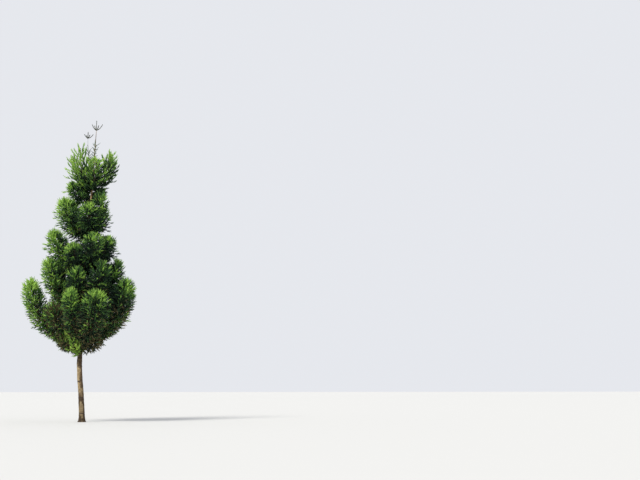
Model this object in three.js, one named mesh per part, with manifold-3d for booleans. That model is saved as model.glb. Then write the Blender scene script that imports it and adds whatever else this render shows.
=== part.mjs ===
// Hoop pine: one slim trunk with tiers of upswept boughs, each ending in a dense plume of foliage.
// Millimetres, +Z up. The origin is the middle of the flat cut under the trunk, at ground level.
// Bearings are degrees seen from above, from +X towards +Y, so 180 is the left of a view along +Y.

import * as THREE from "three";
import { mergeVertices } from "three/addons/utils/BufferGeometryUtils.js";
import Module from "manifold-3d";

// Gap between solids that would otherwise touch, and the room left round a limb
const GAP = 0.3;
const CLEARANCE = 6;

// Trunk: height to the leader's joint, radii, taper, and the flare of the roots at the ground
const TRUNK_HEIGHT = 13540;
const TRUNK_RADIUS = 130;
const TRUNK_TIP_RADIUS = 10;
const TRUNK_TAPER = 1.3;
const TRUNK_SIDES = 14;
const TRUNK_RING_STEP = 640;
const FLARE = 40;
const FLARE_HEIGHT = 120;
const ROOT_LOBES = 5;
const ROOT_LOBE_DEPTH = 0.16;
const COLLAR_SWELL = 0.09;
const COLLAR_HEIGHT = 110;

// Trunk's centre line: how far it stands out of plumb along X and Y at each height
const LEAN = [
  { height: 0, x: 0, y: 0 },
  { height: 1400, x: -95, y: 18 },
  { height: 2350, x: -195, y: 30 },
  { height: 4400, x: -160, y: 10 },
  { height: 7600, x: -65, y: -25 },
  { height: 10400, x: 90, y: 0 },
  { height: TRUNK_HEIGHT, x: 215, y: 10 },
];

// Tiers, from the ground up. foot: height on the trunk. reach and lift: spread and rise of the
// limb's line. radius: the plume's. root: the limb's radius at the trunk, as a share of the
// trunk's. bare: the share of the line with no foliage, 0 where the plume's stem leaves the trunk
// itself. start: how wide the plume starts, and core: how fat its core is, as shares of its
// radius. limbs: each one's bearing, its size beside the fullest, and how much more than that it
// rises and its plume is fat.
const TIERS = [
  {
    name: "lowest",
    foot: 3480,
    reach: 2200,
    lift: 3370,
    radius: 690,
    root: 0.31,
    bare: 0.22,
    start: 0.66,
    core: 0.7,
    sprays: 15,
    limbs: [
      [181, 1.035, 0.9, 0.8],
      [250, 0.77, 0.95, 0.7],
      [293, 0.84, 0.86],
      [338, 0.92, 0.97],
      [26, 0.92],
      [70, 0.9],
      [118, 0.94, 1, 0.92],
    ],
  },
  {
    name: "lower",
    foot: 5200,
    reach: 1600,
    lift: 2370,
    radius: 580,
    root: 0.31,
    bare: 0.2,
    start: 0.66,
    core: 0.7,
    sprays: 13,
    limbs: [
      [184, 0.95, 1.05],
      [250, 0.74, 0.98],
      [308, 0.88],
      [348, 0.92],
      [36, 0.88],
      [82, 0.92],
      [132, 0.95, 1.04],
    ],
  },
  {
    name: "middle",
    foot: 6980,
    reach: 1500,
    lift: 1970,
    radius: 560,
    root: 0.32,
    bare: 0,
    start: 0.66,
    core: 0.7,
    sprays: 12,
    limbs: [
      [178, 0.95, 1.02, 1.08],
      [236, 0.74, 0.7],
      [288, 0.84, 0.96],
      [328, 0.8, 0.9],
      [50, 0.86],
      [112, 0.88, 0.86],
    ],
  },
  {
    name: "upper",
    foot: 8520,
    reach: 1170,
    lift: 1980,
    radius: 540,
    root: 0.33,
    bare: 0,
    start: 0.66,
    core: 0.7,
    sprays: 12,
    limbs: [
      [190, 0.9, 1.03, 1.22],
      [266, 0.8, 0.87],
      [309, 0.77, 1.34],
      [48, 0.84, 0.88],
      [140, 0.86, 1.08],
    ],
  },
  {
    name: "high",
    foot: 10140,
    reach: 880,
    lift: 960,
    radius: 380,
    root: 0.3,
    bare: 0,
    start: 0.5,
    core: 0.62,
    sprays: 8,
    limbs: [
      [186, 1],
      [350, 0.62],
      [60, 0.8],
      [120, 0.9],
    ],
  },
  {
    name: "crown",
    foot: 10760,
    reach: 880,
    lift: 1860,
    radius: 460,
    root: 0.4,
    bare: 0,
    start: 0.36,
    core: 0.62,
    sprays: 10,
    limbs: [
      [172, 0.97, 0.9],
      [216, 0.9, 1.13],
      [284, 0.98, 0.76],
      [334, 0.95, 0.94],
      [30, 1.02, 0.88],
      [100, 0.94],
    ],
  },
  {
    name: "shoot",
    foot: 3180,
    reach: 800,
    lift: 1200,
    radius: 290,
    root: 0.1,
    bare: 0,
    start: 0.66,
    core: 0.55,
    sprays: 6,
    limbs: [[244, 1]],
  },
  {
    name: "tuft",
    foot: 3800,
    reach: 800,
    lift: 1350,
    radius: 380,
    root: 0.16,
    bare: 0,
    start: 0.66,
    core: 0.6,
    sprays: 8,
    limbs: [
      [206, 1.72, 0.72, 0.84],
      [318, 1.1],
      [100, 1.1],
    ],
  },
  {
    name: "dry",
    foot: 3320,
    reach: 1150,
    lift: 560,
    radius: 470,
    root: 0.14,
    bare: 0,
    start: 0.66,
    core: 0.7,
    sprays: 8,
    limbs: [
      [208, 0.76, 1.15],
      [136, 0.88],
      [318, 0.88],
    ],
  },
];

// Limb's line: a cubic curve that leaves the trunk low and ends upright
const LEAVE_OUT = 0.5;
const LEAVE_UP = 0.13;
const TURN_UP = 0.42;
const SWAY = 0.07;

// Feet of a tier's limbs are staggered up and down the trunk by this much in all
const FOOT_STAGGER = 190;
const GOLDEN_SHARE = 0.618034;
const GOLDEN_ANGLE = Math.PI * (3 - Math.sqrt(5));

// Boughs: the taper over the whole limb, and the collar at its root
const LIMB_TAPER = 0.62;
const BOUGH_COLLAR = 0.4;
const BOUGH_SIDES = 6;
const BOUGH_RINGS = 3;

// Second leader: a thin limb that rises beside the trunk's tip
const SIDE_LEADER = { foot: 11700, bearing: 186, reach: 305, lift: 1430, radius: 13 };

// Whorls at the tips of the leaders: an upright shoot, with a ring of arms that rise and spread
const WHORL_ARMS = 4;
const WHORL_BEARING = 12;
const WHORL_ARM_STEP = 97;
const WHORL_ARM_SHRINK = 0.12;
const WHORL_ARM_SLACK = { out: 0.6, up: 0.2 };
const WHORL_ARM_THICKNESS = 0.8;
const LEADER_WHORL = { height: 460, reach: 280, rise: 300 };
const SIDE_WHORL = { height: 290, reach: 230, rise: 190 };
const WHORL_SIDES = 3;
const NEEDLES_AT = [0.55, 1];
const NEEDLE_LEAN = 0.5;
const NEEDLE_LENGTH = 154;
const NEEDLE_WIDTH = 55;
const NEEDLE_SUNK = 0.25;

// Plumes: where along its line a plume is fattest, how blunt its dome is, and its width beside its
// depth
const FATTEST = 0.58;
const BLUNTNESS = 3.6;
const PLUME_WIDTH = 1.28;

// Cores: the share of the plume's line that they fill, and how lumpy they are
const CORE_FROM = 0.05;
const CORE_TO = 0.94;
const CORE_SIDES = 8;
const CORE_RINGS = 5;
const CORE_RING_SPACING = 1.6;
const CORE_LUMP = 0.2;
const STEM_SIDES = 4;
const STEM_RINGS = 3;
const STEM_TO = 0.6;

// Sprays of needles: blades with a midrib and a tooth on each side, sunk in the core by the root,
// on twigs that branch off the stem
const SPRAY_LENGTH = 0.86;
const SPRAY_WIDTH = 0.44;
const SPRAY_THICKNESS = 0.07;
const SPRAY_SUNK = 0.34;
const SPRAY_CROWDING = 0.8;
const SPRAY_VARIES = 0.15;
const SPRAY_OUTWARD = 0.85;
const SPRAY_UPWARD = 0.85;
const SPRAY_FORWARD = 0.35;
const SPRAY_TEST = 1.06;
const RIB_AT = 0.35;
const TOOTH_AT = 0.68;
const NOTCH_AT = 0.54;
const NOTCH_SHARE = 0.26;
const TWIG_SHARE = 0.035;
const TWIG_BACK = 0.16;

// Plumes with a core under this share of their radius are open, and their twigs show
const DENSE_CORE = 0.66;
const SEED = 27;

// Smallest steps that a fused surface and a cut keep
const FINEST = 0.1;
const FINEST_CUT = 0.04;

const COLOURS = {
  bark: 0x9a7f72,
  boughBark: 0x7d6759,
  foliage: 0x3f6b2a,
  newGrowth: 0x8fae4c,
  dryFoliage: 0x6b6238,
};

const UP = new THREE.Vector3(0, 0, 1);

const wasm = await Module();
wasm.setup();
THREE.MathUtils.seededRandom(SEED);

// Material with the roughness of bark or leaf
function material(colour, roughness) {
  return new THREE.MeshStandardMaterial({ color: colour, roughness, metalness: 0 });
}

const SURFACES = {
  bark: material(COLOURS.bark, 0.88),
  boughBark: material(COLOURS.boughBark, 0.9),
  foliage: material(COLOURS.foliage, 0.7),
  shoot: material(COLOURS.newGrowth, 0.65),
  dry: material(COLOURS.dryFoliage, 0.8),
};

// Closed geometry as a solid, with shared vertices merged and collapsed faces dropped
function solidOf(geometry) {
  geometry.deleteAttribute("normal");
  geometry.deleteAttribute("uv");
  const merged = mergeVertices(geometry, 1e-3);
  const index = merged.index.array;
  const corners = [];
  for (let i = 0; i < index.length; i += 3) {
    const [a, b, c] = index.slice(i, i + 3);
    if (a !== b && b !== c && c !== a) corners.push(a, b, c);
  }
  const mesh = new wasm.Mesh({
    numProp: 3,
    vertProperties: merged.attributes.position.array,
    triVerts: new Uint32Array(corners),
  });
  return new wasm.Manifold(mesh);
}

// Largest body of a solid: loose scraps go, and sealed hollows are filled
function mainBody(solid) {
  return solid.decompose().reduce((best, body) => (body.volume() > best.volume() ? body : best));
}

// Whether a solid meets any of a list of solids
function meets(solid, others) {
  return others.some((other) => !solid.intersect(other).isEmpty());
}

// Named mesh of a solid
function meshOf(name, solid, surface) {
  const { vertProperties, triVerts } = solid.getMesh();
  const geometry = new THREE.BufferGeometry();
  geometry.setAttribute("position", new THREE.BufferAttribute(vertProperties, 3));
  geometry.setIndex(new THREE.BufferAttribute(triVerts, 1));
  geometry.computeVertexNormals();
  const mesh = new THREE.Mesh(geometry, surface);
  mesh.name = name;
  return mesh;
}

const leanCurve = new THREE.CatmullRomCurve3(
  LEAN.map(({ height, x, y }) => new THREE.Vector3(x, y, height)),
  false,
  "centripetal",
);

// Point of the trunk's centre line at a height
function trunkAt(height) {
  let low = 0;
  let high = 1;
  while (high - low > 1e-6) {
    const middle = (low + high) / 2;
    if (leanCurve.getPoint(middle).z < height) low = middle;
    else high = middle;
  }
  return leanCurve.getPoint(low).setZ(height);
}

const boughTiers = TIERS.filter(({ bare }) => bare > 0);

// Trunk's radius at a height, with the flare and a swelling at each tier of boughs
function trunkRadius(height) {
  const taper = 1 - (height / TRUNK_HEIGHT) ** TRUNK_TAPER;
  const plain = TRUNK_TIP_RADIUS + (TRUNK_RADIUS - TRUNK_TIP_RADIUS) * taper;
  const near = boughTiers.map(({ foot }) => 1 - Math.abs(height - foot) / COLLAR_HEIGHT);
  const swell = COLLAR_SWELL * Math.max(0, ...near);
  return plain * (1 + swell) + FLARE * Math.exp(-height / FLARE_HEIGHT);
}

// Heights of the trunk's rings: close at the flare and the tiers, even between
function trunkRings() {
  const flare = [0, 0.5, 1, 2, 4].map((share) => share * FLARE_HEIGHT);
  const collars = boughTiers.flatMap(({ foot }) => [foot - COLLAR_HEIGHT, foot, foot + COLLAR_HEIGHT]);
  const close = (h) => collars.some((ring) => Math.abs(ring - h) < TRUNK_RING_STEP / 2);
  const even = [];
  for (let h = 2 * TRUNK_RING_STEP; h < TRUNK_HEIGHT; h += TRUNK_RING_STEP) even.push(h);
  const rings = [...flare, ...collars, ...even.filter((h) => !close(h)), TRUNK_HEIGHT];
  return rings.sort((a, b) => a - b);
}

// Trunk, or the same trunk grown by a clearance to cut other pieces clear of it
function trunkSolid(clearance) {
  const profile = trunkRings().map((h) => new THREE.Vector2(trunkRadius(h) + clearance, h));
  profile.unshift(new THREE.Vector2(0, 0));
  profile.push(new THREE.Vector2(0, TRUNK_HEIGHT));
  const geometry = new THREE.LatheGeometry(profile, TRUNK_SIDES);
  const place = geometry.attributes.position;
  for (let i = 0; i < place.count; i++) {
    const height = place.getY(i);
    const around = Math.atan2(place.getZ(i), place.getX(i));
    const lobe = ROOT_LOBE_DEPTH * Math.exp(-height / FLARE_HEIGHT);
    const scale = 1 + lobe * Math.cos(ROOT_LOBES * around);
    const centre = trunkAt(height);
    place.setXYZ(i, centre.x - scale * place.getX(i), centre.y + scale * place.getZ(i), height);
  }
  return solidOf(geometry);
}

// Frame at a place of a curve: its point, its direction, and two directions square to it. across
// is level and roughly square to the curve.
function frameAt(curve, t, across) {
  const along = curve.getTangent(t);
  const lift = across.clone().cross(along).normalize();
  return { point: curve.getPoint(t), along, lift, side: along.clone().cross(lift) };
}

// Lathe profile swept along a stretch of a curve. radii gives the radius at each share of the
// stretch, lump varies it around the curve, and width stretches it sideways.
function sweep(curve, from, to, radii, sides, across, lump = () => 1, width = 1) {
  const profile = radii.map(([share, radius]) => new THREE.Vector2(radius, share));
  const geometry = new THREE.LatheGeometry(profile, sides);
  const place = geometry.attributes.position;
  for (let i = 0; i < place.count; i++) {
    const share = place.getY(i);
    const { point, lift, side } = frameAt(curve, from + (to - from) * share, across);
    const scale = lump(share, Math.atan2(place.getZ(i), place.getX(i)));
    point.addScaledVector(side, width * scale * place.getX(i));
    point.addScaledVector(lift, scale * place.getZ(i));
    place.setXYZ(i, point.x, point.y, point.z);
  }
  return solidOf(geometry);
}

// Profile of a tapering round limb with flat ends
function taperedProfile(rootRadius, tipRadius, rings, collar = 0) {
  const profile = [[0, 0]];
  for (let i = 0; i <= rings; i++) {
    const share = i / rings;
    const swell = 1 + collar * Math.exp(-3 * share);
    profile.push([share, (rootRadius + (tipRadius - rootRadius) * share) * swell]);
  }
  profile.push([1, 0]);
  return profile;
}

// Line of a limb from the trunk's centre to its upright end, and the level direction across it
function limbLine({ foot, bearing, reach, lift, sway = 0 }) {
  const angle = THREE.MathUtils.degToRad(bearing);
  const out = new THREE.Vector3(Math.cos(angle), Math.sin(angle), 0);
  const across = UP.clone().cross(out);
  const start = trunkAt(foot);
  const at = (outShare, upShare, acrossShare) => {
    const point = start.clone().addScaledVector(out, reach * outShare);
    return point.addScaledVector(across, reach * acrossShare).addScaledVector(UP, lift * upShare);
  };
  const leave = at(LEAVE_OUT, LEAVE_UP, 0);
  return { across, curve: new THREE.CubicBezierCurve3(start, leave, at(1, TURN_UP, sway), at(1, 1, sway)) };
}

// Limb of a tier: its place, size and line
function limbOf(tier, index, order) {
  const [bearing, size, rise = 1, fatness = 1] = tier.limbs[index];
  const stagger = FOOT_STAGGER * (((index * GOLDEN_SHARE) % 1) - 0.5);
  const foot = tier.foot + stagger;
  const sway = index % 2 ? SWAY : -SWAY;
  const { across, curve } = limbLine({
    foot,
    bearing,
    reach: tier.reach * size,
    lift: tier.lift * size * rise,
    sway,
  });
  const speed = curve.getPoint(tier.bare).distanceTo(curve.getPoint(tier.bare + 1e-3)) / 1e-3;
  const from = tier.bare > 0 ? tier.bare + GAP / speed : 0;
  const root = tier.root * trunkRadius(foot) * size;
  const radius = tier.radius * size * fatness;
  return { tier, number: index + 1, order, across, curve, from, root, radius };
}

// Limb's radius at a place of its line
function limbRadius(limb, t) {
  return limb.root * (1 - LIMB_TAPER * t);
}

// Bough, grown by a clearance: one tapering limb from the trunk's centre to where it enters its plume
function boughSolid(limb, clearance) {
  const tip = limbRadius(limb, limb.tier.bare);
  const profile = taperedProfile(limb.root + clearance, tip + clearance, BOUGH_RINGS, BOUGH_COLLAR);
  return sweep(limb.curve, 0, limb.tier.bare, profile, BOUGH_SIDES, limb.across);
}

// Stem of a plume, grown by a clearance: it goes on from the bough, or leaves the trunk
function stemSolid(limb, clearance) {
  const to = limb.from + (1 - limb.from) * STEM_TO;
  const [root, tip] = [limbRadius(limb, limb.from), limbRadius(limb, to)];
  const profile = taperedProfile(root + clearance, tip + clearance, STEM_RINGS);
  return sweep(limb.curve, limb.from, to, profile, STEM_SIDES, limb.across);
}

// Room that a limb's wood takes, a little larger than its bough and its stem
function woodRoom(limb) {
  const stem = stemSolid(limb, CLEARANCE);
  return limb.tier.bare > 0 ? boughSolid(limb, CLEARANCE).add(stem) : stem;
}

// Plume's radius at a share of its line: it widens to its fattest place and closes in a dome
function plumeRadius({ radius, tier }, share) {
  if (share < FATTEST) {
    const widen = Math.sin((Math.PI / 2) * (share / FATTEST));
    return radius * (tier.start + (1 - tier.start) * widen);
  }
  const dome = (share - FATTEST) / (1 - FATTEST);
  return radius * Math.sqrt(Math.max(0, 1 - dome ** BLUNTNESS));
}

// Core of a plume, grown by a clearance: a lumpy closed form inside the plume's outline
function coreSolid(limb, clearance) {
  const place = (share) => limb.from + (1 - limb.from) * share;
  const profile = [[0, 0]];
  for (let i = 1; i < CORE_RINGS; i++) {
    const share = 1 - (1 - i / CORE_RINGS) ** CORE_RING_SPACING;
    const plumeShare = CORE_FROM + (CORE_TO - CORE_FROM) * share;
    profile.push([share, limb.tier.core * plumeRadius(limb, plumeShare) + clearance]);
  }
  profile.push([1, 0]);
  const lump = (share, around) => {
    const waves = Math.sin(2 * around + limb.order + 9 * share) + Math.cos(3 * around - 5 * share);
    return 1 + (CORE_LUMP / 2) * waves;
  };
  const [from, to] = [place(CORE_FROM), place(CORE_TO)];
  return sweep(limb.curve, from, to, profile, CORE_SIDES, limb.across, lump, PLUME_WIDTH);
}

// Blade of a spray from its root along a direction: tip, two teeth and two notches round a midrib
function sprayBlade({ root, along, flat, length, width, thickness }, grow = 1) {
  const normal = along.clone().cross(flat).normalize();
  const at = (alongShare, flatShare, thickShare) =>
    root
      .clone()
      .addScaledVector(along, length * alongShare * grow)
      .addScaledVector(flat, width * flatShare * grow)
      .addScaledVector(normal, thickness * thickShare * grow);
  const notch = NOTCH_SHARE / 2;
  const outline = [
    at(0, 0, 0),
    at(TOOTH_AT, 0.5, 0),
    at(NOTCH_AT, notch, 0),
    at(1, 0, 0),
    at(NOTCH_AT, -notch, 0),
    at(TOOTH_AT, -0.5, 0),
  ];
  const front = at(RIB_AT, 0, 0.5);
  const back = at(RIB_AT, 0, -0.5);
  const faces = outline.flatMap((corner, i) => {
    const next = outline[(i + 1) % outline.length];
    return [next, corner, front, corner, next, back];
  });
  return solidOf(new THREE.BufferGeometry().setFromPoints(faces));
}

// Twig from a point of a stem into a spray
function twigSolid(start, spray, radius) {
  const end = spray.root.clone().addScaledVector(spray.along, RIB_AT * spray.length);
  const line = new THREE.LineCurve3(start, end);
  return sweep(line, 0, 1, [[0, 0], [0, radius], [1, 0]], 3, spray.flat);
}

// Places of a plume's sprays: round its line by the golden angle, closer towards the top, each
// leaning out and up, and less up on the plume's underside
function sprayPlaces(limb) {
  const places = [];
  const count = limb.tier.sprays;
  for (let i = 0; i < count; i++) {
    const share = CORE_FROM + (CORE_TO - CORE_FROM) * ((i + 0.6) / count) ** SPRAY_CROWDING;
    const t = limb.from + (1 - limb.from) * share;
    const { point, along, lift, side } = frameAt(limb.curve, t, limb.across);
    const around = i * GOLDEN_ANGLE + limb.order;
    const radial = side.clone().multiplyScalar(Math.cos(around)).addScaledVector(lift, Math.sin(around));
    const outward = radial.clone().addScaledVector(side, (PLUME_WIDTH - 1) * Math.cos(around));
    const varies = 1 + SPRAY_VARIES * (2 * THREE.MathUtils.seededRandom() - 1);
    const length = SPRAY_LENGTH * limb.radius * varies;
    const direction = radial.clone().multiplyScalar(SPRAY_OUTWARD * (1 - share ** 3));
    direction.addScaledVector(UP, (SPRAY_UPWARD * (1 + radial.z)) / 2);
    direction.addScaledVector(along, SPRAY_FORWARD).normalize();
    const root = point.addScaledVector(outward, limb.tier.core * plumeRadius(limb, share));
    root.addScaledVector(direction, -SPRAY_SUNK * length);
    const flat = radial.clone().cross(direction).normalize();
    flat.applyAxisAngle(direction, THREE.MathUtils.seededRandom() - 0.5);
    const [width, thickness] = [SPRAY_WIDTH * length, SPRAY_THICKNESS * length];
    const start = limb.curve.getPoint(Math.max(limb.from, t - TWIG_BACK * (1 - limb.from)));
    places.push({ start, root, along: direction, flat, length, width, thickness });
  }
  return places;
}

// Plume: stem, core, twigs and sprays fused. A spray that would touch an obstacle is skipped.
function plumeSolid(limb, core, obstacles, trunkCutter) {
  const pieces = [stemSolid(limb, 0), core];
  for (const spray of sprayPlaces(limb)) {
    const twig = twigSolid(spray.start, spray, TWIG_SHARE * limb.radius);
    const open = limb.tier.core < DENSE_CORE;
    if (meets(sprayBlade(spray, SPRAY_TEST), obstacles) || (open && meets(twig, obstacles))) continue;
    pieces.push(sprayBlade(spray));
    if (open) pieces.push(twig);
  }
  const fused = wasm.Manifold.union(pieces).simplify(FINEST);
  return mainBody(fused.subtract(trunkCutter).simplify(FINEST_CUT));
}

// Arms of a whorl, the upright shoot first: each one's line, its radius, and the level direction
// across it
function whorlArms(foot, radius, { height, reach, rise }) {
  const tip = foot.clone().addScaledVector(UP, height - (1 - NEEDLE_SUNK) * NEEDLE_LENGTH);
  const shoot = { curve: new THREE.LineCurve3(foot, tip), radius, across: new THREE.Vector3(1, 0, 0) };
  const arms = [shoot];
  for (let i = 0; i < WHORL_ARMS; i++) {
    const angle = THREE.MathUtils.degToRad(WHORL_BEARING + i * WHORL_ARM_STEP);
    const out = new THREE.Vector3(Math.cos(angle), Math.sin(angle), 0);
    const size = 1 - WHORL_ARM_SHRINK * i;
    const start = foot.clone().addScaledVector(UP, radius);
    const at = (outShare, upShare) =>
      start.clone().addScaledVector(out, outShare * reach * size).addScaledVector(UP, upShare * rise * size);
    const slack = at(WHORL_ARM_SLACK.out, WHORL_ARM_SLACK.up);
    const curve = new THREE.QuadraticBezierCurve3(start, slack, at(1, 1));
    arms.push({ curve, radius: radius * WHORL_ARM_THICKNESS, across: UP.clone().cross(out) });
  }
  return arms;
}

// Whorl at the tip of a leader: an upright shoot, and rising arms, with short sprays of needles
function whorlSolid(base, leaderRadius, whorl) {
  const foot = base.clone().addScaledVector(UP, GAP);
  const pieces = whorlArms(foot, leaderRadius, whorl).flatMap(({ curve, radius, across }) => {
    const limb = sweep(curve, 0, 1, taperedProfile(radius, radius / 2, 1), WHORL_SIDES, across);
    const needles = NEEDLES_AT.map((share) => {
      const { point, along, lift } = frameAt(curve, share, across);
      const direction = along.clone().addScaledVector(across, share < 1 ? NEEDLE_LEAN : 0).normalize();
      const flat = direction.clone().cross(lift).normalize();
      const root = point.addScaledVector(direction, -NEEDLE_SUNK * NEEDLE_LENGTH);
      const size = { length: NEEDLE_LENGTH, width: NEEDLE_WIDTH, thickness: leaderRadius };
      return sprayBlade({ root, along: direction, flat, ...size });
    });
    return [limb, ...needles];
  });
  return mainBody(wasm.Manifold.union(pieces));
}

const tree = new THREE.Group();
const trunk = trunkSolid(0);
const trunkCutter = trunkSolid(1.2 * GAP);
tree.add(meshOf("trunk", trunk, SURFACES.bark));

const limbs = TIERS.flatMap((tier) => tier.limbs.map((_, index) => ({ tier, index }))).map(
  ({ tier, index }, order) => limbOf(tier, index, order),
);

// Boughs. Each limb keeps the room that it takes, a little larger than its core and its wood.
const obstacles = [trunk];
for (const limb of limbs) {
  limb.room = { core: coreSolid(limb, CLEARANCE), wood: woodRoom(limb) };
  if (limb.tier.bare === 0) continue;
  const bough = mainBody(boughSolid(limb, 0).subtract(trunkCutter));
  obstacles.push(bough);
  tree.add(meshOf(`${limb.tier.name}_bough_${limb.number}`, bough, SURFACES.boughBark));
}

// Second leader, and the whorls at the tips of both
const sideLine = limbLine(SIDE_LEADER);
const sideTip = SIDE_LEADER.radius * (1 - LIMB_TAPER);
const sideProfile = taperedProfile(SIDE_LEADER.radius, sideTip, BOUGH_RINGS);
const sideWhole = sweep(sideLine.curve, 0, 1, sideProfile, BOUGH_SIDES, sideLine.across);
const sideLeader = mainBody(sideWhole.subtract(trunkCutter));
const sideWhorl = whorlSolid(sideLine.curve.getPoint(1), sideTip, SIDE_WHORL);
const topWhorl = whorlSolid(trunkAt(TRUNK_HEIGHT), TRUNK_TIP_RADIUS, LEADER_WHORL);
obstacles.push(sideLeader, sideWhorl, topWhorl);
tree.add(meshOf("side_leader", sideLeader, SURFACES.boughBark));
tree.add(meshOf("side_leader_foliage", sideWhorl, SURFACES.foliage));
tree.add(meshOf("leader_foliage", topWhorl, SURFACES.foliage));

// Plumes: each core is cut clear of the wood of other limbs and the cores before it
for (const [i, limb] of limbs.entries()) {
  const wood = limbs.filter((other) => other !== limb).map(({ room }) => room.wood);
  const coresBefore = limbs.slice(0, i).map(({ room }) => room.core);
  const coresAfter = limbs.slice(i + 1).map(({ room }) => room.core);
  const whole = coreSolid(limb, 0);
  const close = [...wood, ...coresBefore].filter((other) => meets(whole, [other]));
  const core = close.length ? mainBody(whole.subtract(wasm.Manifold.union(close))) : whole;
  const plume = plumeSolid(limb, core, [...obstacles, ...wood, ...coresAfter], trunkCutter);
  obstacles.push(plume);
  const surface = SURFACES[limb.tier.name] ?? SURFACES.foliage;
  tree.add(meshOf(`${limb.tier.name}_foliage_${limb.number}`, plume, surface));
}

export default tree;
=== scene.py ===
"""Hoop pine: bark with relief and needle foliage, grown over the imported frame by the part's own rule.

Metres, +Z up. Bearings are degrees seen from above, from +X towards +Y, so 180 is the left of a
view along +Y.
"""

import math

import bpy
import numpy as np
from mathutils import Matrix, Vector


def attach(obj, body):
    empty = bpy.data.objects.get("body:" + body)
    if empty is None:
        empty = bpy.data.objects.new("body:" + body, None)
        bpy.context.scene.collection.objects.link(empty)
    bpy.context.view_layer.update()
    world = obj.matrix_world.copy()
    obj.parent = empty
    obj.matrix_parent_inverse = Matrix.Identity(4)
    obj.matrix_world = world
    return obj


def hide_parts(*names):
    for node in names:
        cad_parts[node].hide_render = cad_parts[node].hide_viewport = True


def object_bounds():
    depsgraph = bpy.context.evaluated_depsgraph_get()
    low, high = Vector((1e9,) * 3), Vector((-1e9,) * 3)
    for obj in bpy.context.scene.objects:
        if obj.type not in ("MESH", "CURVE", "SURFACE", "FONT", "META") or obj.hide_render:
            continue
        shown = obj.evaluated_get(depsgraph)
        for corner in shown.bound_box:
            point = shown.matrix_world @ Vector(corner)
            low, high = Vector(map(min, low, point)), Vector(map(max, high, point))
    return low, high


SEED = 27
UP = np.array([0.0, 0.0, 1.0])
ASKEW = np.array([0.31, 0.17, 0.93])
GOLDEN_SHARE = 0.618034
GOLDEN_ANGLE = math.pi * (3 - math.sqrt(5))

# Camera: the photograph's place and angle
CAMERA_PLACE = (0.0, -47.746, 1.52)
CAMERA_PITCH = 8.304
CAMERA_YAW = 13.015
CAMERA_LENS = 57.04

# Tiers of limbs as in the part: height of the foot, reach and lift of the line, radius of the
# plume, radius at the trunk as a share of the trunk's, bare share of the line if any, how wide
# the plume starts if not as usual, and for each limb its bearing, its size, and how much more
# than that it rises and its plume is fat. Open plumes are all feathers, painted lighter, and more
# upright. Crowding: how many sprays they have beside the usual. Brown: the share of the line that
# has old sprays, and their chance. Dim: painted shade, how much less light the sprays show.
TIERS = [
    {
        "name": "lowest",
        "foot": 3.48,
        "reach": 2.20,
        "lift": 3.37,
        "radius": 0.69,
        "root": 0.31,
        "bare": 0.22,
        "brown": (0.76, 0.30),
        "limbs": [
            (181, 1.035, 0.9, 0.8),
            (250, 0.77, 0.95, 0.7),
            (293, 0.84, 0.86),
            (338, 0.92, 0.97),
            (26, 0.92),
            (70, 0.9),
            (118, 0.94, 1, 0.92),
        ],
    },
    {
        "name": "lower",
        "foot": 5.20,
        "reach": 1.60,
        "lift": 2.37,
        "radius": 0.58,
        "root": 0.31,
        "bare": 0.2,
        "brown": (0.60, 0.24),
        "limbs": [
            (184, 0.95, 1.05),
            (250, 0.74, 0.98),
            (308, 0.88),
            (348, 0.92),
            (36, 0.88),
            (82, 0.92),
            (132, 0.95, 1.04),
        ],
    },
    {
        "name": "middle",
        "foot": 6.98,
        "reach": 1.50,
        "lift": 1.97,
        "radius": 0.56,
        "root": 0.32,
        "brown": (0.45, 0.20),
        "limbs": [
            (178, 0.95, 1.02, 1.08),
            (236, 0.74, 0.7),
            (288, 0.84, 0.96),
            (328, 0.8, 0.9),
            (50, 0.86),
            (112, 0.88, 0.86),
        ],
    },
    {
        "name": "upper",
        "foot": 8.52,
        "reach": 1.17,
        "lift": 1.98,
        "radius": 0.54,
        "root": 0.33,
        "brown": (0.40, 0.16),
        "limbs": [
            (190, 0.9, 1.03, 1.22),
            (266, 0.8, 0.87),
            (309, 0.77, 1.34),
            (48, 0.84, 0.88),
            (140, 0.86, 1.08),
        ],
    },
    {
        "name": "high",
        "foot": 10.14,
        "reach": 0.88,
        "lift": 0.96,
        "radius": 0.38,
        "root": 0.3,
        "start": 0.5,
        "brown": (0.25, 0.25),
        "limbs": [
            (186, 1),
            (350, 0.62),
            (60, 0.8),
            (120, 0.9),
        ],
    },
    {
        "name": "crown",
        "foot": 10.76,
        "reach": 0.88,
        "lift": 1.86,
        "radius": 0.46,
        "root": 0.4,
        "start": 0.36,
        "open": True,
        "crowding": 0.8,
        "brown": (0.12, 0.15),
        "limbs": [
            (172, 0.97, 0.9),
            (216, 0.9, 1.13),
            (284, 0.98, 0.76),
            (334, 0.95, 0.94),
            (30, 1.02, 0.88),
            (100, 0.94),
        ],
    },
    {
        "name": "shoot",
        "foot": 3.18,
        "reach": 0.80,
        "lift": 1.20,
        "radius": 0.29,
        "root": 0.1,
        "open": True,
        "crowding": 1.7,
        "brown": (0, 0),
        "limbs": [(244, 1)],
    },
    {
        "name": "tuft",
        "foot": 3.80,
        "reach": 0.80,
        "lift": 1.35,
        "radius": 0.38,
        "root": 0.16,
        "brown": (1.4, 0.5),
        "dim": 0.26,
        "limbs": [
            (206, 1.72, 0.72, 0.84),
            (318, 1.1),
            (100, 1.1),
        ],
    },
    {
        "name": "dry",
        "foot": 3.32,
        "reach": 1.15,
        "lift": 0.56,
        "radius": 0.47,
        "root": 0.14,
        "brown": (1.6, 0.62),
        "dim": 0.10,
        "limbs": [
            (208, 0.76, 1.15),
            (136, 0.88),
            (318, 0.88),
        ],
    },
]
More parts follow.
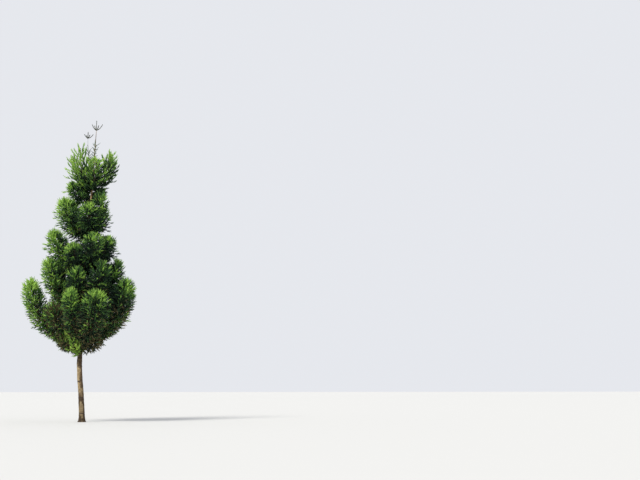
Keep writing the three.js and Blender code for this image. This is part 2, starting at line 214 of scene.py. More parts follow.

# Dim of single plumes as painted shade, in place of their tier's: below 0 it is painted light
DIM = {
    ("upper", 1): 0.06,
    ("upper", 2): 0.12,
    ("middle", 2): 0.32,
    ("middle", 3): 0.08,
    ("middle", 4): 0.16,
    ("lower", 2): 0.22,
    ("lower", 3): 0.10,
    ("lowest", 1): -0.10,
    ("lowest", 2): 0.08,
}

# Share of the underside's twigs that are feathers, by tier and in all the others
FEATHERS_UNDER = {"lowest": 0.10, "lower": 0.15, "upper": 0.45, "tuft": 0.1, "dry": 0.08}
FEATHERS_ELSEWHERE = 0.25

# Limb's line: a cubic curve that leaves the trunk low and ends upright
LINE_STEPS = 60
LEAVE_OUT = 0.5
LEAVE_UP = 0.13
TURN_UP = 0.42
SWAY = 0.07
FOOT_STAGGER = 0.19
LIMB_TAPER = 0.62
BOUGH_COLLAR = 0.4
COLLAR_FADE = 3

# Leaders: the second one beside the trunk's tip, the whorls at the tips of both with their short
# needles, and the sprigs below them
SIDE_LEADER = {"foot": 11.7, "bearing": 186, "reach": 0.305, "lift": 1.43, "radius": 0.013}
WHORL_ARMS = 4
WHORL_BEARING = 12
WHORL_ARM_STEP = 97
WHORL_ARM_SHRINK = 0.12
WHORL_ARM_SLACK = (0.6, 0.2)
WHORL_STEPS = 7
WHORL_SIDES = 6
WHORL_TIP_SHARE = 0.5
WHORL_NEEDLES = 14
WHORL_NEEDLE_LENGTH = 0.042
WHORL_HEADROOM = 0.02
LEADER_WHORL = {"height": 0.46, "reach": 0.28, "rise": 0.30, "radius": 0.014}
SIDE_WHORL = {"height": 0.29, "reach": 0.23, "rise": 0.19, "radius": 0.010}
SPRIGS = {"count": 16, "length": (0.10, 0.26), "rise": (0.5, 1.3), "radius": 0.012}
SPRIG_HEIGHTS = (12.25, 12.85)
SPRIG_STEPS = 12
SIDE_SPRIG_SHARES = (0.35, 0.75)

# Plumes: how wide they start, where along its line a plume is fattest, how blunt its dome is, and
# its width beside its depth
USUAL_START = 0.66
FATTEST = 0.58
BLUNTNESS = 3.6
PLUME_WIDTH = 1.28

# Outline of a plume's needles: its share of the plume's radius, how lumpy it is, its waves round
# and along, and how far the loosest tassels stand out of it
OUTLINE = 0.96
LUMP = 0.12
LUMP_WAVES = (3, 12)
STANDS_OUT = 0.14

# Places on the outline: the shares of the line that they span, their scatter along it and round
# it, how many of those that face sideways, out and to the trunk are kept, and how far down an
# underside faces
OUTLINE_SHARES = (0.01, 0.999)
OUTLINE_STEPS = 400
SCATTER_ALONG = (0.1, 0.9)
SCATTER_ROUND = 0.3
KEPT = {"sideways": 0.9, "outward": 0.3, "least": 0.68}
UNDERSIDE = -0.1

# Twigs: from the limb's line to ends that lie this far inside the outline, but no more than a
# share of their length. Bend: how far they go on along the limb and then outwards. Thickness:
# a share of the radius, and how much more for each metre of the plume's.
TWIG_INSET = 0.16
TWIG_INSET_MOST = 0.6
TWIG_BACK = 0.14
TWIG_BEND = {"open": (0.10, 0.45), "dense": (0.35, 0.15)}
TWIG_STEPS = 5
TWIG_RADIUS = 0.011
TWIG_THICKNESS = (0.6, 0.8)
TWIG_TAPER = 0.65
TASSELS = 7
TASSELS_FROM = 0.3
TASSELS_CROWDING = 1.4

# Tassels: short branchlets clad in needles, with a slim core that the needles stand out of. Each
# is cut to the longest of a few lengths that fits in the outline.
TASSELS_PER_SQUARE_METRE = 138
TASSEL_LENGTH = 0.20
TASSEL_VARIES = (0.75, 1.2)
TASSEL_SHORTEST = 0.4
TASSEL_CUTS = (0.55, 0.7, 0.85, 1.0)
TASSEL_RADIUS = 0.025
TASSEL_LIFT = 0.14
WANDER = 0.04
ANY_TURN = 6.3

# Way of a tassel: how much of it follows the twig and fans out from it, how little the one at the
# twig's tip fans, how far it turns up at least and more on the plume's top, and its scatter
WAY = {"onward": 0.25, "fan": 0.8, "tip_fan": 0.1, "up": 0.10, "up_on_top": 0.32, "scatter": 0.08}

# Needles: folded kites. Spread and size are those at a tassel's root and how much less at its tip.
NEEDLES = 7
NEEDLE_LENGTH = 0.068
NEEDLE_WIDTH = 0.025
NEEDLES_FROM = 0.8
NEEDLE_SPREAD = (1.05, 0.6)
NEEDLE_SIZE = (1.15, 0.35)
NEEDLE_VARIES = (0.8, 1.2)
NEEDLE_SHOULDER = 0.4
NEEDLE_FOLD = 0.6

# Feathers: twigs whose tassels lie close along them, and that end near the outline or past it. All
# twigs of open plumes are feathers, and a share of those under the others. Past: how far past the
# outline they end. Room: how many times the outline their tassels may fill.
FEATHER = {
    "past": (-0.30, 0.06),
    "past_under": (0.0, 0.15),
    "length": 0.72,
    "radius": 0.8,
    "fan": 0.34,
    "onward": 0.8,
    "room": 9,
}
# Open plumes: painted light added to their exposure, and how much more upright their tassels are
OPEN = {"lighter": 0.22, "upright": 0.30}

# Shade: foliage this far overhead darkens a spray, looked for along this stretch of each plume
SHADE_HEIGHTS = (0.3, 0.6, 1.0)
SHADE_SHARES = (0.05, 0.97)
SHADE_STEPS = 16

# Exposure of a tassel to light. Cap: the plume's top, dimmed by shade. Left: the side of the light.
# Noises and bright ones are pairs of weight and grain, or weight and chance.
EXPOSURE = {
    "least": 0.12,
    "cap": 0.36,
    "cap_shaded": 0.6,
    "shade": 0.2,
    "upward": 0.20,
    "outward": 0.16,
    "to_tip": 0.38,
    "tip_from": 0.7,
    "left": 0.18,
    "wide_noise": (0.08, 2.2),
    "fine_noise": (0.26, 6),
    "by_twig": 0.20,
    "by_tassel": 0.14,
    "bright": (0.25, 0.10),
}
CAP_FROM = 0.68
CAP_SPAN = 0.28

# Room: foliage goes this share past the solids' box, and stays clear of the bare trunk
BOX_ROOM = 0.015
TRUNK_CLEARANCE = 0.05
LOWEST_TIP = 2.9

# Tones of the foliage, from the deep shade inside to the bright tips. Shade to tip are painted
# light and shade, dealt out by each spray's exposure; the bright tips are partly the colour of young
# growth and partly painted highlight. Brown and straw are old sprays, and new is the shoot's new
# growth, made brighter as painted light.
TONES = {
    "shade": (0.012, 0.026, 0.018),
    "deep": (0.032, 0.070, 0.034),
    "mid": (0.064, 0.144, 0.040),
    "light": (0.136, 0.280, 0.056),
    "tip": (0.335, 0.545, 0.105),
    "brown": (0.084, 0.074, 0.036),
    "straw": (0.175, 0.158, 0.076),
    "new": (0.480, 0.680, 0.150),
}
TONE_FAMILIES = [["shade", "deep", "mid", "light", "tip"], ["brown", "straw"], ["new"]]
TONE_NAMES = [name for family in TONE_FAMILIES for name in family]
DARKEST = np.array([TONE_NAMES.index(family[0]) for family in TONE_FAMILIES for _ in family])
LIGHTEST = np.array([TONE_NAMES.index(family[-1]) for family in TONE_FAMILIES for _ in family])

# Exposures where a tassel's tone changes, and places along it where its needles' tone does
TONE_STEPS = [0.02, 0.26, 0.47, 0.68]
NEEDLE_TONE_STEPS = [0.35, 0.62]

# Old sprays: how fast their chance fades along the limb, and the share of them that is straw
OLD_FADE = 0.3
STRAW_SHARE = 0.3

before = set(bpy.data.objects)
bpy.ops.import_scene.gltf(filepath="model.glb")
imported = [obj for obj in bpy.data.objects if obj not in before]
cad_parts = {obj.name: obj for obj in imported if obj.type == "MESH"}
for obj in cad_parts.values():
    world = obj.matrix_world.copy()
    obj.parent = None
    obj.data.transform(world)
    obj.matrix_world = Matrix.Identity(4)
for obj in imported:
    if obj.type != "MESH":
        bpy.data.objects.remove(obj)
cad_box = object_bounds()
box_low, box_high = np.array(cad_box)
box_room = BOX_ROOM * (box_high - box_low)
box_low, box_high = box_low - box_room, box_high + box_room
rng = np.random.default_rng(SEED)


def eased(share):
    """Share from 0 to 1 with a soft start and end."""
    return share * share * (3 - 2 * share)


class Noise:
    """Smooth seeded noise in three dimensions, between -1 and 1."""

    SIZE = 32

    def __init__(self, seed):
        self.table = np.random.default_rng(seed).uniform(-1, 1, (self.SIZE,) * 3)

    def __call__(self, places):
        cell = np.floor(places).astype(int)
        f = eased(places - cell)
        total = 0
        for corner in np.ndindex(2, 2, 2):
            weight = np.prod(np.where(corner, f, 1 - f), axis=-1)
            x, y, z = np.moveaxis((cell + corner) % self.SIZE, -1, 0)
            total = total + weight * self.table[x, y, z]
        return total


noise = Noise(SEED)


def unit(vectors):
    """Vectors at length one."""
    return vectors / np.maximum(np.linalg.norm(vectors, axis=-1, keepdims=True), 1e-9)


def level_way(bearing):
    """Level direction at a bearing."""
    angle = math.radians(bearing)
    return np.array([math.cos(angle), math.sin(angle), 0.0])


# Trunk's line and radius, from the rings of its solid


def trunk_rings():
    """Heights, centres and radii of the rings of the trunk's solid, foot first."""
    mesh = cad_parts["trunk"].data
    places = np.array([v.co for v in mesh.vertices], float)
    heights = np.unique(places[:, 2].round(3))
    centres, radii = [], []
    for height in heights:
        ring = np.unique(places[np.abs(places[:, 2] - height) < 2e-3].round(5), axis=0)
        centre = (ring.min(axis=0) + ring.max(axis=0)) / 2
        centres.append(centre[:2])
        radii.append(np.linalg.norm(ring[:, :2] - centre[:2], axis=1).max())
    return heights, np.array(centres), np.array(radii)


RING_HEIGHTS, RING_CENTRES, RING_RADII = trunk_rings()


def trunk_at(height):
    """Point of the trunk's centre line at a height, or points at heights."""
    x = np.interp(height, RING_HEIGHTS, RING_CENTRES[:, 0])
    y = np.interp(height, RING_HEIGHTS, RING_CENTRES[:, 1])
    return np.stack([x, y, np.asarray(height, float)], axis=-1)


def trunk_radius(height):
    """Trunk's radius at a height."""
    return np.interp(height, RING_HEIGHTS, RING_RADII)


# Limbs


def bezier(points, t):
    """Points of a Bezier curve at places t, for control points (k, 3)."""
    t = np.asarray(t, float)[:, None]
    layers = [np.broadcast_to(p, (len(t), 3)) for p in points]
    while len(layers) > 1:
        layers = [a + (b - a) * t for a, b in zip(layers, layers[1:])]
    return layers[0]


def limb_line(foot, bearing, reach, lift, sway=0.0):
    """Control points of a limb from the trunk's centre to its upright end, and the level direction
    across it."""
    out = level_way(bearing)
    across = np.cross(UP, out)
    start = trunk_at(foot)

    def at(out_share, up_share, across_share):
        level = out * out_share + across * across_share
        return start + reach * level + lift * up_share * UP

    points = [start, at(LEAVE_OUT, LEAVE_UP, 0), at(1, TURN_UP, sway), at(1, 1, sway)]
    return points, across, out


def limbs_of(tier, order):
    """Limbs of a tier: their places, sizes and lines."""
    limbs = []
    for index, (bearing, size, *more) in enumerate(tier["limbs"]):
        rise, fatness = (*more, 1, 1)[:2]
        foot = tier["foot"] + FOOT_STAGGER * ((index * GOLDEN_SHARE) % 1 - 0.5)
        sway = SWAY if index % 2 else -SWAY
        lift = tier["lift"] * size * rise
        line, across, out = limb_line(foot, bearing, tier["reach"] * size, lift, sway)
        bare = tier.get("bare", 0)
        points = bezier(line, np.linspace(bare, 1, LINE_STEPS))
        limbs.append(
            {
                "tier": tier["name"],
                "node": f"{tier['name']}_foliage_{index + 1}",
                "order": order + index,
                "line": line,
                "across": across,
                "out": out,
                "from": bare,
                "length": np.linalg.norm(np.diff(points, axis=0), axis=1).sum(),
                "root": tier["root"] * trunk_radius(foot) * size,
                "radius": tier["radius"] * size * fatness,
                "start": tier.get("start", USUAL_START),
                "open": tier.get("open", False),
                "crowding": tier.get("crowding", 1),
                "brown": tier["brown"],
                "dim": DIM.get((tier["name"], index + 1), tier.get("dim", 0)),
                "feathers": FEATHERS_UNDER.get(tier["name"], FEATHERS_ELSEWHERE),
            }
        )
    return limbs


def frames_at(line, across, t):
    """Points of a curve, and its directions along, up and sideways, at places t."""
    t = np.asarray(t, float)
    points = bezier(line, t)
    along = unit(bezier(line, t + 1e-3) - bezier(line, t - 1e-3))
    lift = unit(np.cross(across, along))
    return points, along, lift, np.cross(along, lift)


def plume_radius(limb, share):
    """Plume's radius at a share of its line: it widens to its fattest place and closes in a dome."""
    start = limb["start"]
    widen = start + (1 - start) * np.sin(math.pi / 2 * np.clip(share / FATTEST, 0, 1))
    dome = np.clip((share - FATTEST) / (1 - FATTEST), 0, 1)
    return limb["radius"] * np.where(share < FATTEST, widen, np.sqrt(1 - dome**BLUNTNESS))


# Meshes from arrays


def make_mesh(name, places, faces, materials, face_material=None, smooth=False):
    """Object with a mesh of vertices (n, 3) and faces (m, 3 or 4), riding on the tree."""
    mesh = bpy.data.meshes.new(name)
    mesh.vertices.add(len(places))
    mesh.vertices.foreach_set("co", places.astype(np.float32).ravel())
    mesh.loops.add(faces.size)
    mesh.loops.foreach_set("vertex_index", faces.astype(np.int32).ravel())
    mesh.polygons.add(len(faces))
    starts = np.arange(0, faces.size, faces.shape[1], dtype=np.int32)
    mesh.polygons.foreach_set("loop_start", starts)
    mesh.polygons.foreach_set("use_smooth", np.full(len(faces), smooth))
    for material in materials:
        mesh.materials.append(material)
    if face_material is not None:
        mesh.polygons.foreach_set("material_index", face_material.astype(np.int32))
    mesh.update(calc_edges=True)
    piece = bpy.data.objects.new(name, mesh)
    bpy.context.scene.collection.objects.link(piece)
    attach(piece, "root")
    return piece


def tubes(paths, radii, sides, across=None):
    """Vertices and faces of tapering tubes along paths (m, n, 3) with radii (m, n)."""
    count, steps = radii.shape
    along = unit(np.gradient(paths, axis=1))
    if across is None:
        across = unit(np.cross(along[:, :1], ASKEW))
    first = unit(across - (across * along).sum(-1, keepdims=True) * along)
    second = np.cross(along, first)
    angle = np.arange(sides) * 2 * math.pi / sides
    spokes = first[:, :, None] * np.cos(angle)[:, None] + second[:, :, None] * np.sin(angle)[:, None]
    places = paths[:, :, None] + spokes * radii[:, :, None, None]
    index = np.arange(count * steps * sides).reshape(count, steps, sides)
    low, high = index[:, :-1], index[:, 1:]
    corners = [low, np.roll(low, -1, axis=2), np.roll(high, -1, axis=2), high]
    return places.reshape(-1, 3), np.stack(corners, axis=-1).reshape(-1, 4)


def joined(parts):
    """Several (vertices, faces) as one."""
    offsets = np.cumsum([0] + [len(places) for places, _ in parts[:-1]])
    faces = [faces + offset for (_, faces), offset in zip(parts, offsets)]
    return np.concatenate([places for places, _ in parts]), np.concatenate(faces)


# Foliage


def outline_places(limb):
    """Evenly spread places on a plume's outline: shares of its line, angles round it, and frames.

    Fewer face the trunk than face out.
    """
    share = np.linspace(*OUTLINE_SHARES, OUTLINE_STEPS)
    radius = OUTLINE * plume_radius(limb, share)
    slope = np.gradient(radius, share * limb["length"])
    ring = 2 * math.pi * radius * (1 + PLUME_WIDTH) / 2 * np.sqrt(1 + slope**2)
    area = np.concatenate([[0], np.cumsum((ring[1:] + ring[:-1]) / 2 * np.diff(share))])
    crowding = limb["crowding"] * TASSELS_PER_SQUARE_METRE / TASSELS
    count = round(area[-1] * limb["length"] * crowding)
    i = np.arange(count)
    place = np.interp((i + rng.uniform(*SCATTER_ALONG, count)) / count * area[-1], area, share)
    around = i * GOLDEN_ANGLE + limb["order"] + rng.uniform(-SCATTER_ROUND, SCATTER_ROUND, count)
    t = limb["from"] + (1 - limb["from"]) * place
    points, along, lift, side = frames_at(limb["line"], limb["across"], t)
    cosine, sine = np.cos(around)[:, None], np.sin(around)[:, None]
    radial = unit(cosine * side / PLUME_WIDTH + sine * lift)
    outward = PLUME_WIDTH * cosine * side + sine * lift
    lean = np.interp(place, share, slope)[:, None]
    normal = unit(radial - lean * along)
    waves = np.sin(LUMP_WAVES[0] * around + 2 * limb["order"])
    lump = 1 + LUMP * waves * np.sin(LUMP_WAVES[1] * place + limb["order"])
    reach = OUTLINE * plume_radius(limb, place) * lump
    surface = points + outward * reach[:, None]
    kept = KEPT["sideways"] + KEPT["outward"] * (normal @ limb["out"])
    keep = rng.random(count) < np.clip(kept, KEPT["least"], 1)
    under = (normal[:, 2] < UNDERSIDE) & (rng.random(count) < limb["feathers"])
    fields = {
        "feather": under | limb["open"],
        "share": place,
        "t": t,
        "points": points,
        "along": along,
        "lift": lift,
        "side": side,
        "normal": normal,
        "surface": surface,
    }
    return {key: value[keep] for key, value in fields.items()}


def grow_twigs(limb, places):
    """Twigs of a limb that leave its line forwards and end inside the outline: paths and radii."""
    past = rng.uniform(*FEATHER["past" if limb["open"] else "past_under"], len(places["t"]))
    back = np.maximum(limb["from"], places["t"] - TWIG_BACK * (1 - limb["from"]))
    starts = bezier(limb["line"], back)
    away = places["surface"] - starts
    far = np.linalg.norm(away, axis=1, keepdims=True)
    inset = np.where(places["feather"], -past, TWIG_INSET)[:, None]
    ends = places["surface"] - places["normal"] * np.minimum(inset, TWIG_INSET_MOST * far)
    ends = np.clip(ends, box_low, box_high)
    onward, outward = TWIG_BEND["open" if limb["open"] else "dense"]
    bend = starts + places["along"] * onward * far + places["normal"] * outward * far
    u = np.linspace(0, 1, TWIG_STEPS)[None, :, None]
    paths = starts[:, None] * (1 - u) ** 2 + 2 * bend[:, None] * u * (1 - u) + ends[:, None] * u**2
    least, more = TWIG_THICKNESS
    radii = TWIG_RADIUS * (least + more * limb["radius"]) * (1 - TWIG_TAPER * u[..., 0])
    return paths, radii * np.ones((len(paths), 1))


def inside_outline(limb, places, tips, room):
    """Whether tips (n, k, 3) of a place's tassels lie inside the plume's outline times room."""
    offset = tips - places["points"][:, None]
    level = (offset * places["along"][:, None]).sum(-1)
    share = places["share"][:, None] + level / limb["length"]
    across = (offset * places["side"][:, None]).sum(-1) / PLUME_WIDTH
    high = (offset * places["lift"][:, None]).sum(-1)
    dome = np.clip((share - FATTEST) / (1 - FATTEST), 0, 2)
    widest = OUTLINE * plume_radius(limb, np.minimum(share, FATTEST))
    return (across**2 + high**2) / widest**2 + dome**BLUNTNESS < room**2


def shade_over(points, limb):
    """Share of shade at points from other plumes overhead, between 0 and 1."""
    share = np.linspace(*SHADE_SHARES, SHADE_STEPS)
    total = np.zeros(len(points))
    for height in SHADE_HEIGHTS:
        covered = np.zeros(len(points), bool)
        for other in every_limb:
            if other is limb:
                continue
            line = bezier(other["line"], other["from"] + (1 - other["from"]) * share)
            reach = plume_radius(other, share)
            apart = np.linalg.norm(points[:, None] + height * UP - line, axis=-1)
            covered |= (apart < reach).any(axis=1)
        total += covered
    return total / len(SHADE_HEIGHTS)


def exposure_of(limb, places, roots, v):
    """Exposure to light of the tassels at places v of their twigs."""
    weights = EXPOSURE
    normal = places["normal"][:, None]
    cap = eased(np.clip((places["share"] - CAP_FROM) / CAP_SPAN, 0, 1))[:, None]
    shade = shade_over(places["surface"], limb)[:, None]
    exposure = weights["least"] + weights["cap"] * cap * (1 - weights["cap_shaded"] * shade)
    exposure = exposure - weights["shade"] * shade + weights["upward"] * normal[..., 2]
    exposure = exposure + weights["outward"] * (normal @ limb["out"])
    exposure = exposure + weights["to_tip"] * (v - weights["tip_from"])
    exposure = exposure - weights["left"] * limb["out"][0]
    for weight, grain in (weights["wide_noise"], weights["fine_noise"]):
        exposure = exposure + weight * noise(roots * grain)
    by_twig = rng.normal(0, weights["by_twig"], (len(roots), 1))
    exposure = exposure + by_twig + rng.normal(0, weights["by_tassel"], v.shape)
    weight, chance = weights["bright"]
    exposure = exposure + weight * (rng.random(v.shape) < chance) - limb["dim"]
    return exposure + (OPEN["lighter"] if limb["open"] else 0)


def grow_tassels(limb, places, paths):
    """Tassels of a limb's twigs: roots, directions, lengths, radii, exposure to light, and shares."""
    count = len(paths)
    v = 1 - (1 - TASSELS_FROM) * np.linspace(0, 1, TASSELS) ** TASSELS_CROWDING
    v = np.clip(v + rng.uniform(-WANDER, WANDER, (count, TASSELS)), 0, 1)
    place = v * (TWIG_STEPS - 1)
    low = np.minimum(place.astype(int), TWIG_STEPS - 2)
    rows = np.arange(count)[:, None]
    step = paths[rows, low + 1] - paths[rows, low]
    roots = paths[rows, low] + step * (place - low)[..., None]
    normal = places["normal"][:, None]
    tangent = unit(step)
    across = unit(np.cross(normal, places["along"][:, None] + 0.2 * UP))
    third = np.cross(normal, across)
    turn = np.arange(TASSELS)[None, :] * GOLDEN_ANGLE + rng.uniform(0, ANY_TURN, (count, 1))
    spread = across * np.cos(turn)[..., None] + third * np.sin(turn)[..., None]
    feather = places["feather"][:, None]
    fan = np.where(feather, FEATHER["fan"], WAY["fan"])
    fan = np.where(np.arange(TASSELS) == 0, WAY["tip_fan"], fan)[..., None]
    onward = np.where(feather, FEATHER["onward"], WAY["onward"])[..., None]
    upward = WAY["up"] + WAY["up_on_top"] * (1 + normal[..., 2:]) / 2
    upward = upward + (OPEN["upright"] if limb["open"] else 0)
    direction = (1 - onward) * normal + onward * tangent + fan * spread + upward * UP
    direction = unit(direction + rng.normal(0, WAY["scatter"], direction.shape))
    room = np.where(feather, FEATHER["room"], 1 + STANDS_OUT * rng.random(v.shape) ** 2)
    whole = TASSEL_LENGTH * rng.uniform(*TASSEL_VARIES, v.shape)
    whole = whole * np.where(feather, FEATHER["length"], 1)
    length = TASSEL_SHORTEST * whole
    for share in TASSEL_CUTS:
        tips = roots + direction * (whole * share)[..., None]
        fits = inside_outline(limb, places, tips, room)
        length = np.where(fits, whole * share, length)
    exposure = exposure_of(limb, places, roots, v)
    shares = np.repeat(places["share"][:, None], TASSELS, axis=1)
    radius = TASSEL_RADIUS * np.where(feather, FEATHER["radius"], 1) * np.ones(v.shape)
    fields = (roots, direction, length, radius, exposure, shares)
    return [field.reshape(-1, *field.shape[2:]) for field in fields]


def tassel_cores(roots, direction, length, radius):
    """Slim cores of tassels: three-sided spindles that end in a point."""
    along = np.array([0.0, 0.5, 1.0])
    widths = np.array([0.75, 1.0, 0.10])
    paths = roots[:, None] + direction[:, None] * (length[:, None] * along)[..., None]
    paths = paths + UP * (TASSEL_LIFT * length[:, None] * along**2)[..., None]
    return tubes(paths, radius[:, None] * widths[None], 3)


def needles_along(roots, direction, length, count, size):
    """Needles of tassels: folded kites that stand out of the cores, and their places along them.

    Vertices are (n, count, 4, 3).
    """
    k = np.arange(count)
    shift = rng.uniform(-WANDER, WANDER, (len(roots), count))
    u = np.clip((k + NEEDLES_FROM) / count + shift, 0, 1)
    turn = k * GOLDEN_ANGLE + rng.uniform(0, ANY_TURN, (len(roots), 1))
    across = unit(np.cross(direction, ASKEW))
    third = np.cross(direction, across)
    spoke = across[:, None] * np.cos(turn)[..., None] + third[:, None] * np.sin(turn)[..., None]
    spread = NEEDLE_SPREAD[0] - NEEDLE_SPREAD[1] * u
    way = unit(direction[:, None] + spread[..., None] * spoke)
    base = roots[:, None] + direction[:, None] * (length[:, None] * u)[..., None]
    base = base + UP * (TASSEL_LIFT * length[:, None] * u**2)[..., None]
    size = size * (NEEDLE_SIZE[0] - NEEDLE_SIZE[1] * u) * rng.uniform(*NEEDLE_VARIES, u.shape)
    flat = unit(np.cross(way, spoke))
    fold = np.cross(flat, way)
    half = NEEDLE_WIDTH / 2
    middle = base + way * (NEEDLE_SHOULDER * size)[..., None] - fold * half * NEEDLE_FOLD
    tip = base + way * size[..., None]
    return np.stack([base, middle + flat * half, tip, middle - flat * half], axis=2), u


def tones_of(limb, exposure, share):
    """Tone of each tassel by its exposure. Old sprays near the limb's foot are brown."""
    brown, straw = TONE_NAMES.index("brown"), TONE_NAMES.index("straw")
    tone = np.digitize(exposure, TONE_STEPS)
    # The shoot's sprays are tip or new: new growth, made brighter still as painted light
    if limb["tier"] == "shoot":
        dim = tone < TONE_NAMES.index("light")
        return np.where(dim, TONE_NAMES.index("tip"), TONE_NAMES.index("new"))
    reach, chance = limb["brown"]
    fades = np.clip((reach - share) / OLD_FADE, 0, 1)
    old = rng.random(len(tone)) < chance * fades
    return np.where(old, np.where(rng.random(len(tone)) < STRAW_SHARE, straw, brown), tone)


def tones_shifted(tone, step):
    """Tones that are steps darker or lighter, in their own family."""
    return np.clip(tone + step, DARKEST[tone], LIGHTEST[tone])


def foliage_of(limbs):
    """Needles and cores of the limbs' tassels with their tones, and the twigs."""
    cores, needles, twigs = [], [], []
    for limb in limbs:
        places = outline_places(limb)
        paths, radii = grow_twigs(limb, places)
        twigs.append(tubes(paths, radii, 3))
        roots, direction, length, radius, exposure, share = grow_tassels(limb, places, paths)
        tips = roots + direction * length[:, None]
        off_trunk = np.linalg.norm((tips - trunk_at(tips[:, 2]))[:, :2], axis=1)
        clear = off_trunk > trunk_radius(tips[:, 2]) + TRUNK_CLEARANCE
        clear &= tips[:, 2] > LOWEST_TIP
        clear &= ((tips > box_low) & (tips < box_high)).all(axis=1)
        tone = tones_of(limb, exposure[clear], share[clear])
        roots, direction, length = roots[clear], direction[clear], length[clear]
        cores.append((tassel_cores(roots, direction, length, radius[clear]), tone))
        blades, u = needles_along(roots, direction, length, NEEDLES, NEEDLE_LENGTH)
        needles.append((blades, tones_shifted(tone[:, None], np.digitize(u, NEEDLE_TONE_STEPS) - 1)))
    return cores, needles, twigs


def kite_faces(count):
    """Triangles of kites of four vertices each, folded along the midrib."""
    first = np.arange(count)[:, None] * 4
    return np.concatenate([first + [0, 1, 2], first + [0, 2, 3]])


def foliage_pieces(group, limbs, materials):
    """Pieces of a group of limbs: one for each tone, and their twigs."""
    cores, needles, twigs = foliage_of(limbs)
    nodes = [limb["node"] for limb in limbs]
    blades = np.concatenate([places.reshape(-1, 4, 3) for places, _ in needles])
    blade_tone = np.concatenate([tone.reshape(-1) for _, tone in needles])
    places, faces = joined([part for part, _ in cores])
    tones = np.concatenate([tone for _, tone in cores])
    core_tone = np.repeat(tones, len(faces) // len(tones))
    for index, name in enumerate(TONE_NAMES):
        chosen = blades[blade_tone == index].reshape(-1, 3)
        core_faces = faces[core_tone == index]
        if not len(chosen):
            continue
        used, inverse = np.unique(core_faces, return_inverse=True)
        quads = inverse.reshape(-1, 4)
        triangles = np.concatenate([quads[:, [0, 1, 2]], quads[:, [0, 2, 3]]])
        parts = [(chosen, kite_faces(len(chosen) // 4)), (places[used], triangles)]
        piece = make_mesh(f"{group}_needles_{name}", *joined(parts), [materials[name]])
        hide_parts(*nodes)
    piece = make_mesh(f"{group}_twigs", *joined(twigs), [materials["bough_bark"]], smooth=True)
    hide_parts(*nodes)


# Whorls at the tips of the leaders


def kites(blades):
    """Vertices and faces of needles as kites of four corners."""
    return blades.reshape(-1, 3), np.arange(blades.size // 3).reshape(-1, 4)


def whorl_arms(foot, whorl):
    """Paths of a whorl's arms, the upright shoot first."""
    steps = np.linspace(0, 1, WHORL_STEPS)
    arms = [foot + UP * (whorl["height"] - WHORL_HEADROOM) * steps[:, None]]
    for i in range(WHORL_ARMS):
        out = level_way(WHORL_BEARING + i * WHORL_ARM_STEP)
        size = 1 - WHORL_ARM_SHRINK * i
        reach, rise = whorl["reach"] * size, whorl["rise"] * size
        slack = foot + out * reach * WHORL_ARM_SLACK[0] + UP * rise * WHORL_ARM_SLACK[1]
        arms.append(bezier([foot, slack, foot + out * reach + UP * rise], steps))
    return np.array(arms)


def whorl_piece(name, node, foot, whorl, materials):
    """Whorl of arms clad in short needles."""
    paths = whorl_arms(foot, whorl)
    radii = np.linspace(whorl["radius"], WHORL_TIP_SHARE * whorl["radius"], WHORL_STEPS)
    radii = radii[None] * np.ones((len(paths), 1))
    roots = paths[:, :-1].reshape(-1, 3)
    steps = (paths[:, 1:] - paths[:, :-1]).reshape(-1, 3)
    length = np.linalg.norm(steps, axis=1)
    blades, _ = needles_along(roots, unit(steps), length, WHORL_NEEDLES, WHORL_NEEDLE_LENGTH)
    parts = [tubes(paths, radii, WHORL_SIDES), kites(blades)]
    piece = make_mesh(name, *joined(parts), [materials["leader_shoot"]])
    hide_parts(node)


def leader_sprigs(name, node, path, materials):
    """Small sprigs that stand out of a stretch of a leader."""
    place = np.linspace(0, len(path) - 1.001, SPRIGS["count"])
    low = place.astype(int)
    roots = path[low] + (path[low + 1] - path[low]) * (place - low)[:, None]
    turn = np.arange(len(place)) * GOLDEN_ANGLE
    rise = rng.uniform(*SPRIGS["rise"], len(place))
    direction = unit(np.stack([np.cos(turn), np.sin(turn), rise], axis=-1))
    length = rng.uniform(*SPRIGS["length"], len(place))
    cores = tassel_cores(roots, direction, length, np.full(len(place), SPRIGS["radius"]))
    blades, _ = needles_along(roots, direction, length, NEEDLES, NEEDLE_LENGTH)
    piece = make_mesh(name, *joined([cores, kites(blades)]), [materials["mid"]])
    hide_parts(node)


# Bark of the trunk: close rings up to where the foliage starts, and wide ones above
BARK_SIDES = 56
BARE_TO = 3.4
BARE_STEP = 0.009
CLAD_RINGS = 240

# Relief: the grain of each part and its depth in metres. Flakes and ridges fade with height
# above the foot, and all of it fades where the trunk is thin.
HOOPS = {"grain": [6, 6, 30], "depth": 0.0030}
SWELLS = {"grain": [13, 13, 3.0], "depth": 0.0060}
FLAKES = {"grain": [45, 45, 14], "depth": 0.0024, "more_at_foot": 0.006}
RIDGES = {"grain": [30, 30, 5], "depth_at_foot": 0.010}
ROUGH_FOOT_HEIGHT = 0.45
GRAIN_RADIUS = 0.12
THIN_RADIUS = 0.06
SHRUNK = 0.985

# Knots: rings of them up the trunk, each a rim round a pit and darker than the bark. Bands: a
# dark wavy hoop at each ring, broken where the noise is low.
KNOT_FOOT = 0.38
KNOT_STEP = 0.72
KNOTS_END = 0.8
KNOT_TURN = 2.1
KNOT_SHIFT = {"around": 0.3, "up": 0.04}
KNOT_SIZE = (0.020, 0.036)
KNOT_TALL = 1.6
KNOT_RIM = {"height": 0.018, "fall": 0.7}
KNOT_PIT = {"depth": 0.016, "fall": 5}
KNOT_SCAR_FALL = 1.4
BAND = {
    "wave": 0.016,
    "wobble": 0.012,
    "wobble_grain": [20, 20, 4],
    "width": 0.030,
    "depth": 0.005,
    "dark": 0.9,
    "gaps": -0.45,
    "gap_grain": [14, 14, 4],
}
SCAR_FROM = 0.42

